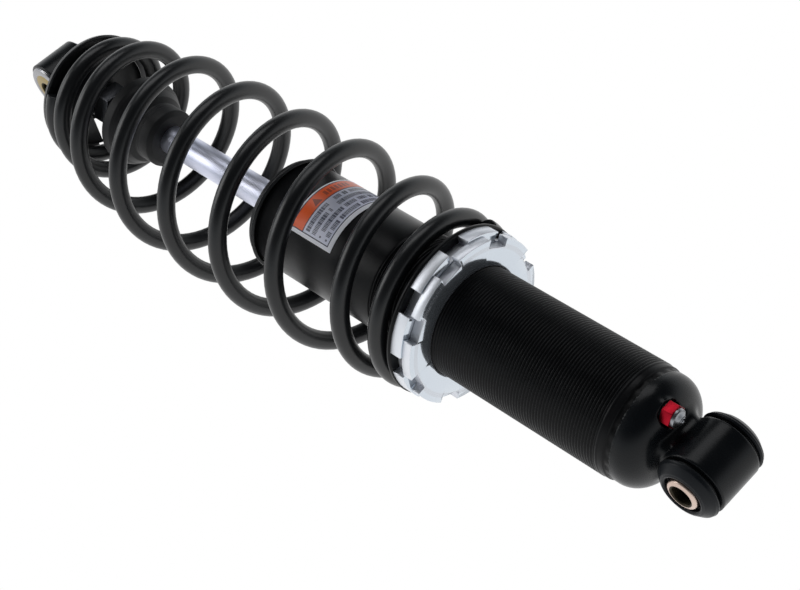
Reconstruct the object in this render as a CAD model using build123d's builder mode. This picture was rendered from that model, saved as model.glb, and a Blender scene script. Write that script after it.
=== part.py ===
"""Coil-over strut lying along X: lower eye at the origin, upper eye at the far end of the rod.

X runs from the lower eye to the upper eye, Y along both eye bores, Z up. Millimetres.
Every turned piece is an outline of (station along X, radius) points, revolved about X.
"""

import os
from math import cos, pi, radians, sin

from build123d import *

os.makedirs("parts", exist_ok=True)

# Fits
running = 0.05  # radial clearance of a shaft or a thread in its bore
seated = 0.02  # clearance of a pressed or clamped piece, so that solids never overlap

# Eyes: the lower one has rubber bushes, the upper one steel-flanged bronze
eye_to_eye = 413.0
eye_radius = 14.8
eye_half = 11.5
eye_bore = 11.2
sleeve_radius = 7.2
sleeve_half = 18.2
bolt_radius = 5.3
bush_neck = 12.0
bush_gap = 2.0
bush_lip = 14.0
bush_rim = 1.6
bush_face = 10.6
bush_recess = 9.3
recess_depth = 1.6
upper_sleeve_radius = 9.8
upper_sleeve_half = 12.7
upper_flange_radius = 12.6
upper_flange = 0.7

# Tube: outside diameter that carries the M52 x 1.5 thread, 45 mm bore inside
thread_radius = 26.0
tube_radius = 26.0
tube_bore = 22.5
tube_start = 28.6
tube_end = 240.0
crimp_length = 4.2
crimp_step = 0.8

# Lower end cap
cap_face = 16.1
cap_core = 11.0
cap_radius = 25.3
spigot_end = 48.0
chamber_radius = 19.5
chamber_start = 23.5
cap_groove = 38.0

# Gas valve, screwed into a spot face at the top of the cap
valve_height = 18.2
valve_seat = 20.6
valve_hex_flats = 9.2
valve_hex_length = 4.8
valve_shank = 2.6
shank_length = 3.9
valve_hole = 1.2
spot_face_radius = 5.9
boss_radius = 5.6
screw_radius = 3.4
screw_height = 2.4

# O-rings
cord = 2.0
groove_width = 2.6
groove_depth = 2.1
squeezed_cord = 1.05  # the cord's centre line, in from the bore

# Preload rings and the spring seat
ring_notches = 8
notch_angle = 16.2
lock_face = 124.8
lock_thick = 4.6
lock_radius = 39.2
lock_turn = 13.8
adjuster_face = 129.6
adjuster_thick = 6.0
adjuster_radius = 39.9
adjuster_turn = 28.9
notch_depth = 4.2
seat_face = 135.8
seat_radius = 40.9
seat_top = 137.2
seat_pilot = 32.6
seat_pilot_end = 142.0

# Spring: right-handed, barrel shaped, round wire. One row for each turn: (turn, station,
# mean radius, bow towards +Y), with the closed ends drawn in.
wire_radius = 4.3
spring_turns = [
    (-0.75, 141.6, 37.5, 0.0),
    (0.0, 146.6, 37.6, 0.0),
    (0.5, 154.6, 38.6, 0.2),
    (1.0, 167.6, 41.6, 0.6),
    (2.0, 206.4, 43.8, 1.5),
    (3.0, 242.6, 44.2, 2.0),
    (4.0, 279.0, 43.8, 2.2),
    (5.0, 315.4, 43.2, 2.2),
    (6.0, 352.0, 38.3, 1.8),
    (6.5, 364.6, 34.2, 1.2),
    (7.0, 375.0, 31.4, 0.6),
    (7.95, 384.2, 29.8, 0.0),
]
spring_phase = 57.4  # angle of every whole turn, from +Y towards +Z
points_per_turn = 16

# Rod and what is on it
rod_radius = 7.0
stud_radius = 4.0
stud_end = 182.0
shoulder = 204.5
piston_start = 190.0
piston_length = 13.0
ports = 6
nut_start = 181.6
nut_length = 6.6
shim_thick = 0.5
rod_end = 396.0

# Rod guide and its seals
guide_start = 212.5
guide_end = 236.2
clip_thick = 1.8
guide_groove = 224.0
bush_wall = 1.5
rod_bush_start = 214.0
seal_start = 227.0
seal_end = 231.0
seal_wall = 3.4
wiper_start = 231.8
wiper_wall = 3.0
wiper_lip = 2.2
end_play = 0.1

# Cup over the rod end of the tube
cup_start = 236.5
cup_end = 243.5
cup_radius = 27.4
cup_wall_start = 240.4
cup_hole = 9.4

# Floating piston between the oil and the gas
float_start = 76.0
float_length = 14.0

# Upper end
bump_start = 327.8
bump_end = 355.0
bump_washer = 3.0
jam_start = 367.0
jam_length = 9.0
jam_flats = 21.0
retainer_face = 388.55
retainer_thick = 3.0
retainer_radius = 31.5
retainer_pilot = 25.2
retainer_pilot_start = 382.5
shank_radius = 9.5
shank_start = 377.0
collar_radius = 16.0
collar_thick = 2.5
neck_radius = 11.3

# Label wrapped over the tube
label_start = 190.4
label_end = 217.0
label_from = 46.0
label_sweep = 120.0
label_thick = 0.15


def save(part, node):
    """Names a finished piece and writes it."""
    part.label = node
    export_step(part, f"parts/{node}.step")
    print(node, round(part.volume))


def turned(outline):
    """A closed outline of (station, radius) points, revolved about X."""
    with BuildPart() as piece:
        with BuildSketch(Plane.XY):
            with BuildLine():
                Polyline(*outline, close=True)
            make_face()
        revolve(axis=Axis.X)
    return piece.part


def across(station, height=0.0):
    """The plane across the strut at a station: its x is Y, its y is Z, and it faces +X."""
    return Plane(origin=(station, 0, height), x_dir=(0, 1, 0), z_dir=(1, 0, 0))


def tube(start, end, outer, inner):
    """A plain ring or tube along X."""
    return turned([(start, inner), (start, outer), (end, outer), (end, inner)])


def o_ring(station, radius):
    """An O-ring of the common cord, its centre line on the given radius."""
    with BuildPart() as ring:
        with BuildSketch(Plane.XY):
            with Locations((station, radius)):
                Circle(cord / 2)
        revolve(axis=Axis.X)
    return ring.part


def groove(station, radius):
    """Corners of a rectangular O-ring groove in an outside wall, in order along X."""
    floor = radius - groove_depth
    near = station - groove_width / 2
    far = station + groove_width / 2
    return [(near, radius), (near, floor), (far, floor), (far, radius)]


def lathe_y(outline, station):
    """A closed outline of (y, radius) points, revolved about a line along Y."""
    with BuildPart() as piece:
        with BuildSketch(Plane.XY):
            with BuildLine():
                Polyline(*[(station + radius, y) for y, radius in outline], close=True)
            make_face()
        revolve(axis=Axis((station, 0, 0), (0, 1, 0)))
    return piece.part


# Eyes: sleeve and two half bushes each
def sleeve(station, radius, half):
    """Crush sleeve that the bolt clamps."""
    bevel = 0.5
    outline = [
        (-half, bolt_radius),
        (-half, radius - bevel),
        (-half + bevel, radius),
        (half - bevel, radius),
        (half, radius - bevel),
        (half, bolt_radius),
    ]
    return lathe_y(outline, station)


bush_body = eye_bore - seated
bush_seat = eye_half + seated
bush_middle = 0.2  # half the gap between a pair of bushes


def rubber_bush(station, side):
    """One flanged rubber half of a bush, pushed in from the +Y or the -Y side."""
    inner = sleeve_radius + running
    face = sleeve_half - 0.5
    outline = [
        (bush_middle, inner),
        (bush_middle, bush_body),
        (bush_seat, bush_body),
        (bush_seat, bush_neck),
        (bush_seat + bush_gap, bush_neck),
        (bush_seat + bush_gap, bush_lip),
        (bush_seat + bush_gap + bush_rim, bush_lip),
        (face, bush_face),
        (face, bush_recess),
        (face - recess_depth, bush_recess - 0.3),
        (face - recess_depth, inner),
    ]
    return lathe_y([(side * y, radius) for y, radius in outline], station)


def steel_bush(station, side):
    """One thin-flanged steel half of the upper bush."""
    inner = upper_sleeve_radius + running
    outline = [
        (bush_middle, inner),
        (bush_middle, bush_body),
        (bush_seat, bush_body),
        (bush_seat, upper_flange_radius),
        (bush_seat + upper_flange - 0.3, upper_flange_radius),
        (bush_seat + upper_flange, upper_flange_radius - 0.3),
        (bush_seat + upper_flange, inner),
    ]
    return lathe_y([(side * y, radius) for y, radius in outline], station)


save(sleeve(0.0, sleeve_radius, sleeve_half), "lower_sleeve")
save(rubber_bush(0.0, 1), "lower_bush_left")
save(rubber_bush(0.0, -1), "lower_bush_right")
save(sleeve(eye_to_eye, upper_sleeve_radius, upper_sleeve_half), "upper_sleeve")
save(steel_bush(eye_to_eye, 1), "upper_bush_left")
save(steel_bush(eye_to_eye, -1), "upper_bush_right")

# Lower end cap: dome, spigot, chamber, neck and eye in one forging
with BuildPart() as lower_end_cap:
    with BuildSketch(Plane.XY):
        with BuildLine():
            EllipticalCenterArc(
                (tube_start - 0.2, cap_core),
                tube_start - 0.2 - cap_face,
                cap_radius - cap_core,
                start_angle=90,
                arc_size=90,
            )
            Polyline(
                (cap_face, cap_core),
                (cap_face, 0),
                (chamber_start, 0),
                (chamber_start, chamber_radius),
                (spigot_end, chamber_radius),
                (spigot_end, tube_bore - seated - 0.8),
                (spigot_end - 0.8, tube_bore - seated),
                *reversed(groove(cap_groove, tube_bore - seated)),
                (tube_start - 0.2, tube_bore - seated),
                (tube_start - 0.2, cap_radius),
            )
        make_face()
    revolve(axis=Axis.X)
    with BuildSketch(across(4)):
        RectangleRounded(2 * eye_half - 0.6, 22, 4)
    with BuildSketch(across(12)):
        RectangleRounded(2 * eye_half - 1.6, 20, 6)
    with BuildSketch(across(cap_face + 1.4)):
        RectangleRounded(2 * eye_half + 4, 26, 9)
    loft()
    with Locations(Plane.XZ):
        Cylinder(eye_radius, 2 * eye_half)
        Cylinder(eye_bore, 2 * eye_half + 1, mode=Mode.SUBTRACT)
    with Locations(across(valve_seat, valve_height)):
        Cylinder(
            boss_radius,
            chamber_start + 1 - valve_seat,
            align=(Align.CENTER, Align.CENTER, Align.MIN),
        )
        Cylinder(
            spot_face_radius,
            valve_seat,
            align=(Align.CENTER, Align.CENTER, Align.MAX),
            mode=Mode.SUBTRACT,
        )
        Cylinder(
            valve_shank + seated,
            2 * (chamber_start - valve_seat + 1),
            mode=Mode.SUBTRACT,
        )
save(lower_end_cap.part, "lower_end_cap")
save(o_ring(cap_groove, tube_bore - squeezed_cord), "end_cap_seal")

# Gas valve: hex body, its washer and the domed filler screw
with BuildPart() as gas_valve_body:
    with BuildSketch(across(valve_seat - 0.6, valve_height)):
        RegularPolygon(valve_hex_flats / 2, 6, major_radius=False)
    extrude(amount=-valve_hex_length)
    with Locations(across(valve_seat - 0.6, valve_height)):
        Cylinder(
            valve_shank, shank_length, align=(Align.CENTER, Align.CENTER, Align.MIN)
        )
        Cylinder(valve_hole, 2 * valve_hex_length, mode=Mode.SUBTRACT)
    chamfer(gas_valve_body.faces().sort_by(Axis.X)[0].edges(), 0.6)
save(gas_valve_body.part, "gas_valve_body")

with BuildPart() as gas_valve_washer:
    with BuildSketch(across(valve_seat, valve_height)):
        Circle(valve_hex_flats / 2 - 0.4)
        Circle(valve_shank + running, mode=Mode.SUBTRACT)
    extrude(amount=-0.6)
save(gas_valve_washer.part, "gas_valve_washer")

screw_base = valve_seat - 0.6 - valve_hex_length
with BuildPart() as gas_valve_screw:
    with BuildSketch(Plane(origin=(0, 0, valve_height), x_dir=(1, 0, 0), z_dir=(0, -1, 0))):
        with BuildLine():
            Polyline(
                (screw_base, 0), (screw_base, screw_radius), (screw_base - 0.9, screw_radius)
            )
            ThreePointArc(
                (screw_base - 0.9, screw_radius),
                (screw_base - 0.75 * screw_height, 0.8 * screw_radius),
                (screw_base - screw_height, valve_hole),
            )
            Polyline(
                (screw_base - screw_height, valve_hole),
                (screw_base - 0.9, valve_hole),
                (screw_base - 0.9, 0),
                (screw_base, 0),
            )
        make_face()
    revolve(axis=Axis((0, 0, valve_height), (1, 0, 0)))
save(gas_valve_screw.part, "gas_valve_screw")

# Tube: crimped over the cap, threaded, then plain up to the rod end
clip_groove_radius = tube_bore + 1.4
clip_start = guide_end + seated
body_tube = turned(
    [
        (tube_start, tube_bore),
        (tube_start, tube_radius - crimp_step),
        (tube_start + crimp_length, tube_radius - crimp_step),
        (tube_start + crimp_length + crimp_step, tube_radius),
        (tube_end, tube_radius),
        (tube_end, tube_bore),
        (clip_start + clip_thick + 0.1, tube_bore),
        (clip_start + clip_thick + 0.1, clip_groove_radius),
        (clip_start, clip_groove_radius),
        (clip_start, tube_bore),
    ]
)
save(body_tube, "body_tube")

# Rod guide with bush, seal, wiper and its own O-ring, held by a snap ring
guide_radius = tube_bore - seated
rod_bore = rod_radius + running
guide_bore = rod_radius + 0.4
rod_guide = turned(
    [
        (guide_start, guide_bore),
        (guide_start, guide_radius - 0.6),
        (guide_start + 0.6, guide_radius),
        *groove(guide_groove, guide_radius),
        (guide_end, guide_radius),
        (guide_end, rod_radius + wiper_wall),
        (wiper_start, rod_radius + wiper_wall),
        (wiper_start, guide_bore),
        (seal_end, guide_bore),
        (seal_end, rod_radius + seal_wall),
        (seal_start, rod_radius + seal_wall),
        (seal_start, rod_radius + bush_wall),
        (rod_bush_start, rod_radius + bush_wall),
        (rod_bush_start, guide_bore),
    ]
)
save(rod_guide, "rod_guide")
save(o_ring(guide_groove, tube_bore - squeezed_cord), "rod_guide_seal")
save(
    tube(
        rod_bush_start + end_play,
        seal_start - end_play,
        rod_radius + bush_wall - seated,
        rod_bore,
    ),
    "rod_guide_bush",
)
save(
    tube(
        seal_start + end_play,
        seal_end - end_play,
        rod_radius + seal_wall - seated,
        rod_bore,
    ),
    "rod_seal",
)
wiper = turned(
    [
        (wiper_start + end_play, rod_bore),
        (wiper_start + end_play, rod_radius + wiper_wall - seated),
        (guide_end - 0.2, rod_radius + wiper_wall - seated),
        (guide_end - 0.2, rod_radius + 1.8),
        (guide_end + wiper_lip, rod_radius + 1.2),
        (guide_end + wiper_lip + 0.4, rod_bore),
    ]
)
save(wiper, "rod_wiper")

with BuildPart() as snap_ring:
    with BuildSketch(across(clip_start + 0.05)):
        Circle(clip_groove_radius - 0.05)
        Circle(tube_bore - 2.6, mode=Mode.SUBTRACT)
        with Locations((tube_bore - 1.0, 0)):
            Rectangle(8, 7, mode=Mode.SUBTRACT)
    extrude(amount=clip_thick)
save(snap_ring.part, "snap_ring")

# Cup over the rod end
with BuildPart() as rod_end_cup:
    with BuildSketch(Plane.XY):
        with BuildLine():
            Polyline(
                (cup_start, tube_radius + seated),
                (cup_start, cup_radius - 0.6),
                (cup_start + 0.6, cup_radius),
                (cup_end - 4.5, cup_radius),
            )
            RadiusArc((cup_end - 4.5, cup_radius), (cup_end, cup_radius - 4.5), 4.5)
            Polyline(
                (cup_end, cup_radius - 4.5),
                (cup_end, cup_hole),
                (cup_wall_start, cup_hole),
                (cup_wall_start, tube_radius + seated),
                (cup_start, tube_radius + seated),
            )
        make_face()
    revolve(axis=Axis.X)
save(rod_end_cup.part, "rod_end_cup")

# Printed label
with BuildPart() as label:
    with BuildSketch(Plane.XY.rotated((label_from, 0, 0))):
        with Locations(((label_start + label_end) / 2, tube_radius + 0.01 + label_thick / 2)):
            Rectangle(label_end - label_start, label_thick)
    revolve(axis=Axis.X, revolution_arc=label_sweep)
save(label.part, "body_label")

# Floating piston and its ring
float_radius = tube_bore - running
float_groove = float_start + float_length / 2
floating_piston = turned(
    [
        (float_start, 0),
        (float_start, float_radius - 0.8),
        (float_start + 0.8, float_radius),
        *groove(float_groove, float_radius),
        (float_start + float_length - 0.8, float_radius),
        (float_start + float_length, float_radius - 0.8),
        (float_start + float_length, 16.0),
        (float_start + 5.0, 13.0),
        (float_start + 5.0, 0),
    ]
)
save(floating_piston, "floating_piston")
save(o_ring(float_groove, tube_bore - running - cord / 2), "floating_piston_seal")


# Preload rings: castellated nuts on the tube's thread
def castle_nut(face, thick, radius, turn):
    """A round nut with square notches in its rim; turn is the middle of one tooth."""
    with BuildPart() as nut:
        with BuildSketch(across(face)):
            Circle(radius)
            Circle(thread_radius + running, mode=Mode.SUBTRACT)
            with PolarLocations(0, ring_notches, start_angle=turn + 180 / ring_notches):
                with Locations((radius - notch_depth / 2 + 1, 0)):
                    Rectangle(
                        notch_depth + 2,
                        2 * radius * sin(radians(notch_angle / 2)),
                        mode=Mode.SUBTRACT,
                    )
        extrude(amount=thick)
        bore_edges = nut.edges().filter_by(GeomType.CIRCLE).filter_by(
            lambda edge: edge.radius < thread_radius + 1
        )
        chamfer(bore_edges, 0.8)
    return nut.part


save(castle_nut(lock_face, lock_thick, lock_radius, lock_turn), "lock_ring")
save(
    castle_nut(adjuster_face, adjuster_thick, adjuster_radius, adjuster_turn),
    "adjuster_ring",
)
spring_seat = turned(
    [
        (seat_face, thread_radius + 0.25),
        (seat_face, seat_radius - 0.5),
        (seat_face + 0.5, seat_radius),
        (seat_top, seat_radius),
        (seat_top, seat_pilot),
        (seat_pilot_end - 1.0, seat_pilot),
        (seat_pilot_end, seat_pilot - 1.0),
        (seat_pilot_end, thread_radius + 0.25),
    ]
)
save(spring_seat, "spring_seat")


# Spring
def between(turn, column):
    """A column of the rows at any turn, as a smooth cubic through them."""
    rows = spring_turns
    last = len(rows) - 2
    k = min(max(i for i in range(last + 1) if rows[i][0] <= turn), last)

    def slope(i):
        low, high = max(i - 1, 0), min(i + 1, len(rows) - 1)
        return (rows[high][column] - rows[low][column]) / (rows[high][0] - rows[low][0])

    span = rows[k + 1][0] - rows[k][0]
    t = (turn - rows[k][0]) / span
    return (
        rows[k][column] * (2 * t**3 - 3 * t**2 + 1)
        + rows[k + 1][column] * (3 * t**2 - 2 * t**3)
        + slope(k) * span * (t**3 - 2 * t**2 + t)
        + slope(k + 1) * span * (t**3 - t**2)
    )


first, final = spring_turns[0][0], spring_turns[-1][0]
steps = round((final - first) * points_per_turn)
coil_points = []
for step in range(steps + 1):
    turn = first + (final - first) * step / steps
    angle = radians(spring_phase) + 2 * pi * turn
    radius = between(turn, 2)
    side = radius * cos(angle) + between(turn, 3)
    coil_points.append((between(turn, 1), side, radius * sin(angle)))

with BuildPart() as spring:
    with BuildLine() as coil:
        Spline(*coil_points)
    wire_line = coil.edges()[0]
    with BuildSketch(Plane(origin=wire_line @ 0, z_dir=wire_line % 0)):
        Circle(wire_radius)
    sweep(is_frenet=True)
print("spring: volume over section x length",
      round(spring.part.volume / (pi * wire_radius**2 * wire_line.length), 4))
save(spring.part, "spring")

# Rod: stud for the piston, plain shaft, thread end in the upper eye
piston_rod = turned(
    [
        (stud_end, 0),
        (stud_end, stud_radius - 0.5),
        (stud_end + 0.5, stud_radius),
        (shoulder, stud_radius),
        (shoulder, rod_radius),
        (rod_end - 1, rod_radius),
        (rod_end, rod_radius - 1),
        (rod_end, 0),
    ]
)
save(piston_rod, "piston_rod")

piston_end = piston_start + piston_length
with BuildPart() as piston:
    with BuildSketch(Plane.XY):
        with BuildLine():
            Polyline(
                (piston_start, stud_radius + seated),
                (piston_start, tube_bore - 1.0),
                (piston_start + 0.6, tube_bore - 0.4),
                (piston_start + 3.2, tube_bore - 0.4),
                (piston_start + 3.2, tube_bore - 2.0),
                (piston_end - 3.2, tube_bore - 2.0),
                (piston_end - 3.2, tube_bore - 0.4),
                (piston_end - 0.6, tube_bore - 0.4),
                (piston_end, tube_bore - 1.0),
                (piston_end, stud_radius + seated),
                close=True,
            )
        make_face()
    revolve(axis=Axis.X)
    with BuildSketch(across(piston_start)):
        with PolarLocations(13.0, ports):
            Circle(2.2)
    extrude(amount=piston_length, mode=Mode.SUBTRACT)
save(piston.part, "piston")
save(
    tube(piston_start + 3.3, piston_end - 3.3, tube_bore - running, tube_bore - 2.0 + seated),
    "piston_band",
)


def shims(face, away):
    """Three spring-steel discs, largest against the piston, stacked along +X or -X."""
    inner = stud_radius + seated
    corners = [(face, inner)]
    for k, radius in enumerate((17.5, 14.5, 11.5)):
        corners.append((face + away * k * shim_thick, radius))
        corners.append((face + away * (k + 1) * shim_thick, radius))
    corners.append((face + away * 3 * shim_thick, inner))
    return turned(corners)


save(shims(piston_end, 1), "compression_shims")
save(shims(piston_start, -1), "rebound_shims")

with BuildPart() as piston_nut:
    with BuildSketch(across(nut_start)):
        RegularPolygon(7.0, 6, major_radius=False)
        Circle(stud_radius + seated, mode=Mode.SUBTRACT)
    extrude(amount=nut_length)
save(piston_nut.part, "piston_nut")

top_out_bumper = turned(
    [
        (shoulder + 0.1, rod_radius + seated),
        (shoulder + 0.1, 11.0),
        (shoulder + 6.5, 11.0),
        (shoulder + 7.6, 9.5),
        (shoulder + 7.6, rod_radius + seated),
    ]
)
save(top_out_bumper, "top_out_bumper")

# Bump stop: stepped rubber with one waist, and the washer behind it
bump_stop = turned(
    [
        (bump_start, rod_radius + seated),
        (bump_start, 13.4),
        (bump_start + 1.2, 14.8),
        (bump_start + 7.5, 15.6),
        (bump_start + 9.5, 14.4),
        (bump_start + 11.5, 14.4),
        (bump_start + 13.5, 17.6),
        (bump_start + 18.0, 19.6),
        (bump_start + 22.0, 22.4),
        (bump_end - 1.0, 22.8),
        (bump_end, 21.8),
        (bump_end, rod_radius + seated),
    ]
)
save(bump_stop, "bump_stop")
save(
    tube(bump_end + 0.1, bump_end + 0.1 + bump_washer, 18.0, rod_radius + seated),
    "bump_washer",
)

with BuildPart() as jam_nut:
    with BuildSketch(across(jam_start)):
        RegularPolygon(jam_flats / 2, 6, major_radius=False)
        Circle(rod_radius + seated, mode=Mode.SUBTRACT)
    extrude(amount=jam_length)
    chamfer(
        jam_nut.edges().filter_by(GeomType.LINE).filter_by(Axis.X, reverse=True), 0.8
    )
save(jam_nut.part, "jam_nut")
save(
    tube(bump_end + 0.2 + bump_washer, jam_start - 0.1, 10.5, rod_radius + seated),
    "rod_spacer",
)

# Spring retainer: flange with a pilot, slotted so that it slides off past the shank
with BuildPart() as spring_retainer:
    with BuildSketch(Plane.XY):
        with BuildLine():
            Polyline(
                (retainer_face, shank_radius + running),
                (retainer_pilot_start, shank_radius + running),
                (retainer_pilot_start, retainer_pilot - 1.0),
                (retainer_pilot_start + 1.0, retainer_pilot),
                (retainer_face, retainer_pilot),
                (retainer_face, retainer_radius - 0.5),
                (retainer_face + 0.5, retainer_radius),
                (retainer_face + retainer_thick - 0.8, retainer_radius),
                (retainer_face + retainer_thick, retainer_radius - 0.8),
                (retainer_face + retainer_thick, shank_radius + running),
                close=True,
            )
        make_face()
    revolve(axis=Axis.X)
    with BuildSketch(across(retainer_pilot_start - 1)):
        with Locations((0, -retainer_radius / 2)):
            Rectangle(2 * (shank_radius + running), retainer_radius + 2)
    extrude(amount=retainer_thick + 10, mode=Mode.SUBTRACT)
save(spring_retainer.part, "spring_retainer")

# Upper eye: shank through the retainer, collar behind it, neck and eye
collar_face = retainer_face + retainer_thick + 0.1
with BuildPart() as upper_eye:
    with BuildSketch(Plane.XY):
        with BuildLine():
            Polyline(
                (shank_start, rod_radius + seated),
                (shank_start, shank_radius - 0.8),
                (shank_start + 0.8, shank_radius),
                (collar_face, shank_radius),
                (collar_face, collar_radius - 0.8),
                (collar_face + 0.8, collar_radius),
                (collar_face + collar_thick - 1.5, collar_radius),
                (collar_face + collar_thick, collar_radius - 1.5),
                (collar_face + collar_thick, neck_radius),
                (rod_end + 4.0, neck_radius),
                (rod_end + 4.0, 0),
                (rod_end + 0.1, 0),
                (rod_end + 0.1, rod_radius + seated),
                close=True,
            )
        make_face()
    revolve(axis=Axis.X)
    with BuildSketch(across(rod_end + 0.2)):
        Circle(neck_radius)
    with BuildSketch(across(eye_to_eye - 6)):
        RectangleRounded(2 * eye_half - 1, 22, 5)
    loft()
    with Locations(Plane(origin=(eye_to_eye, 0, 0), x_dir=(1, 0, 0), z_dir=(0, -1, 0))):
        Cylinder(eye_radius, 2 * eye_half)
        Cylinder(eye_bore, 2 * eye_half + 1, mode=Mode.SUBTRACT)
save(upper_eye.part, "upper_eye")
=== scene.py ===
import math

import bmesh
import bpy
import numpy as np
from mathutils import Matrix, Vector


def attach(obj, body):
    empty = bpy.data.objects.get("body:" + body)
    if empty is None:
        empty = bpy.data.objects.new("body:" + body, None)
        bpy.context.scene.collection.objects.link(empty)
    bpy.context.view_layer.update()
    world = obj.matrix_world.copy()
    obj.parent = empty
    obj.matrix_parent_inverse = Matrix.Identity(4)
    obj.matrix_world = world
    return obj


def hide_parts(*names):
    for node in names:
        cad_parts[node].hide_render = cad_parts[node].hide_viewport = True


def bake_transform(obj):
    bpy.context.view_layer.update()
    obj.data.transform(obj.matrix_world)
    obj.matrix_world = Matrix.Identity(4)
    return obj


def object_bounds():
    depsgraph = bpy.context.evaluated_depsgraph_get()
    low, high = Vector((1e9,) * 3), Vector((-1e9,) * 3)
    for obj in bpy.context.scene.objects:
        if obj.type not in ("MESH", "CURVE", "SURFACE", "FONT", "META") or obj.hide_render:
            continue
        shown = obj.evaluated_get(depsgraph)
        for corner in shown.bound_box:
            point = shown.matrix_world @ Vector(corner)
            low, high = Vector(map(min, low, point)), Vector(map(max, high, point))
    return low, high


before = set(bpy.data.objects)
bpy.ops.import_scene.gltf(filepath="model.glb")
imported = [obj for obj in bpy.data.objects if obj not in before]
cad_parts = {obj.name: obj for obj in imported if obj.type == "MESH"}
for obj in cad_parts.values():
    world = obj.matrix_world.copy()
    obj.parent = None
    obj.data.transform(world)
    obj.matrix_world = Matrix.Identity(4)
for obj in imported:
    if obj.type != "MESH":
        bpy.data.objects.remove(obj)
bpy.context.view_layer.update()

# Coil-over strut. X runs from the lower eye to the upper eye, Y along the eye bores, Z up.
# Sizes in the dictionaries are millimetres.
mm = 0.001
eyeToEye = 413.0
scene = bpy.context.scene


# Nodes, for materials and for Geometry Nodes alike

class Wire:
    # an output in a node tree: sums and comparisons on it add Math nodes
    def __init__(self, tree, socket):
        self.tree = tree
        self.socket = socket

    def __add__(self, other):
        return self.tree.math("ADD", self, other)

    def __sub__(self, other):
        return self.tree.math("SUBTRACT", self, other)

    def __rsub__(self, other):
        return self.tree.math("SUBTRACT", other, self)

    def __mul__(self, other):
        return self.tree.math("MULTIPLY", self, other)

    def __truediv__(self, other):
        return self.tree.math("DIVIDE", self, other)

    def __pow__(self, other):
        return self.tree.math("POWER", self, other)

    def __gt__(self, other):
        return self.tree.math("GREATER_THAN", self, other)

    def __lt__(self, other):
        return self.tree.math("LESS_THAN", self, other)

    __radd__ = __add__
    __rmul__ = __mul__


class Tree:
    # a node tree with one way of adding nodes
    def __init__(self, nodes):
        self.nodes = nodes

    def node(self, kind, settings=None, sockets=None, out=0):
        made = self.nodes.nodes.new(kind)
        for name, value in (settings or {}).items():
            setattr(made, name, value)
        for key, value in (sockets or {}).items():
            self.plug(made.inputs[key], value)
        return Wire(self, made.outputs[out])

    def plug(self, target, value):
        if isinstance(value, Wire):
            self.nodes.links.new(value.socket, target)
        else:
            target.default_value = value

    def split(self, vector):
        node = self.nodes.nodes.new("ShaderNodeSeparateXYZ")
        self.plug(node.inputs[0], vector)
        return [Wire(self, output) for output in node.outputs]

    def math(self, operation, *values):
        return self.node("ShaderNodeMath", {"operation": operation}, dict(enumerate(values)))

    def join(self, x, y, z):
        return self.node("ShaderNodeCombineXYZ", None, {0: x, 1: y, 2: z})

    def ease(self, value, low, high):
        # 0 below low, 1 above high, smooth between
        sockets = {0: value, 1: low, 2: high, 3: 0.0, 4: 1.0}
        return self.node("ShaderNodeMapRange", {"interpolation_type": "SMOOTHSTEP"}, sockets)

    def noise(self, place, scale, detail=2.0, rough=0.5):
        sockets = {"Vector": place, "Scale": scale, "Detail": detail, "Roughness": rough}
        return self.node("ShaderNodeTexNoise", {"noise_dimensions": "3D"}, sockets)

    def mixColour(self, share, one, two):
        return self.node("ShaderNodeMix", {"data_type": "RGBA"}, {0: share, 6: one, 7: two}, out=2)


# Materials

reliefDepth = 0.1


def rgba(colour):
    return (*colour, 1.0)


def finish(name, facts):
    # colour, roughness and fine relief from noise in the piece's own space
    # marks adds what only this finish has
    material = bpy.data.materials.new(name)
    material.use_nodes = True
    tree = Tree(material.node_tree)
    shader = material.node_tree.nodes["Principled BSDF"]
    place = tree.node("ShaderNodeTexCoord", out="Object")
    patch = tree.noise(place, facts.get("patchScale", 60.0), 3.0)
    fine = tree.noise(place, facts["grainScale"], 3.0, 0.6)
    colour = tree.mixColour(tree.ease(patch, 0.3, 0.7), rgba(facts["colour"]), rgba(facts["second"]))
    uneven = (patch - 0.5) * facts.get("patchy", 0.1) + (fine - 0.5) * facts.get("grainy", 0.1)
    rough = uneven + facts["roughness"]
    height = fine
    if "marks" in facts:
        colour, rough, height = facts["marks"](tree, place, colour, rough, height)
    sockets = {"Strength": facts["relief"], "Distance": reliefDepth * mm, "Height": height}
    bump = tree.node("ShaderNodeBump", None, sockets)
    for socket, value in (("Base Color", colour), ("Roughness", rough), ("Normal", bump)):
        tree.plug(shader.inputs[socket], value)
    for socket in ("Metallic", "Specular IOR Level"):
        if socket in facts:
            shader.inputs[socket].default_value = facts[socket]
    return material


def radiusOf(tree, place):
    x, y, z = tree.split(place)
    return x, y, z, (y * y + z * z) ** 0.5


threadFacts = {"root": 25.2, "crest": 25.95, "crestSheenAndWearColour": (0.0105, 0.011, 0.0122)}
ringFacts = {
    "floorFrom": 34.0, "floorTo": 35.0, "rimFrom": 36.4, "rimTo": 36.9, "floor": (0.55, 0.55, 0.58),
    "face": (0.58, 0.65, 0.72), "faceFrom": 0.93, "faceTo": 0.98, "polish": 0.34,
}
latheLines = 5200.0  # per metre


def threadCrestSheenAndWear(tree, place, colour, rough, height):
    # crests are lighter than the roots, partly a painted highlight along every crest and partly rubbed wear in
    # patches, and a little smoother
    x, y, z, radius = radiusOf(tree, place)
    crest = tree.ease(radius, threadFacts["root"] * mm, threadFacts["crest"] * mm)
    worn = crest * tree.ease(tree.noise(place, 220.0), 0.35, 0.75)
    # painted highlight on every crest, plus lighter rubbed wear where the noise allows
    colour = tree.mixColour(crest * 0.35 + worn * 0.45, colour, rgba(threadFacts["crestSheenAndWearColour"]))
    return colour, rough - crest * 0.06, height


def turnedMarks(tree, place, colour, rough, height):
    # faint lathe lines about X, on faces and rims alike
    x, y, z, radius = radiusOf(tree, place)
    lines = tree.noise(tree.join(x * latheLines, radius * latheLines, 0.0), 1.0, 1.0)
    return colour, rough + (lines - 0.5) * 0.16, height * 0.4 + lines


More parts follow.
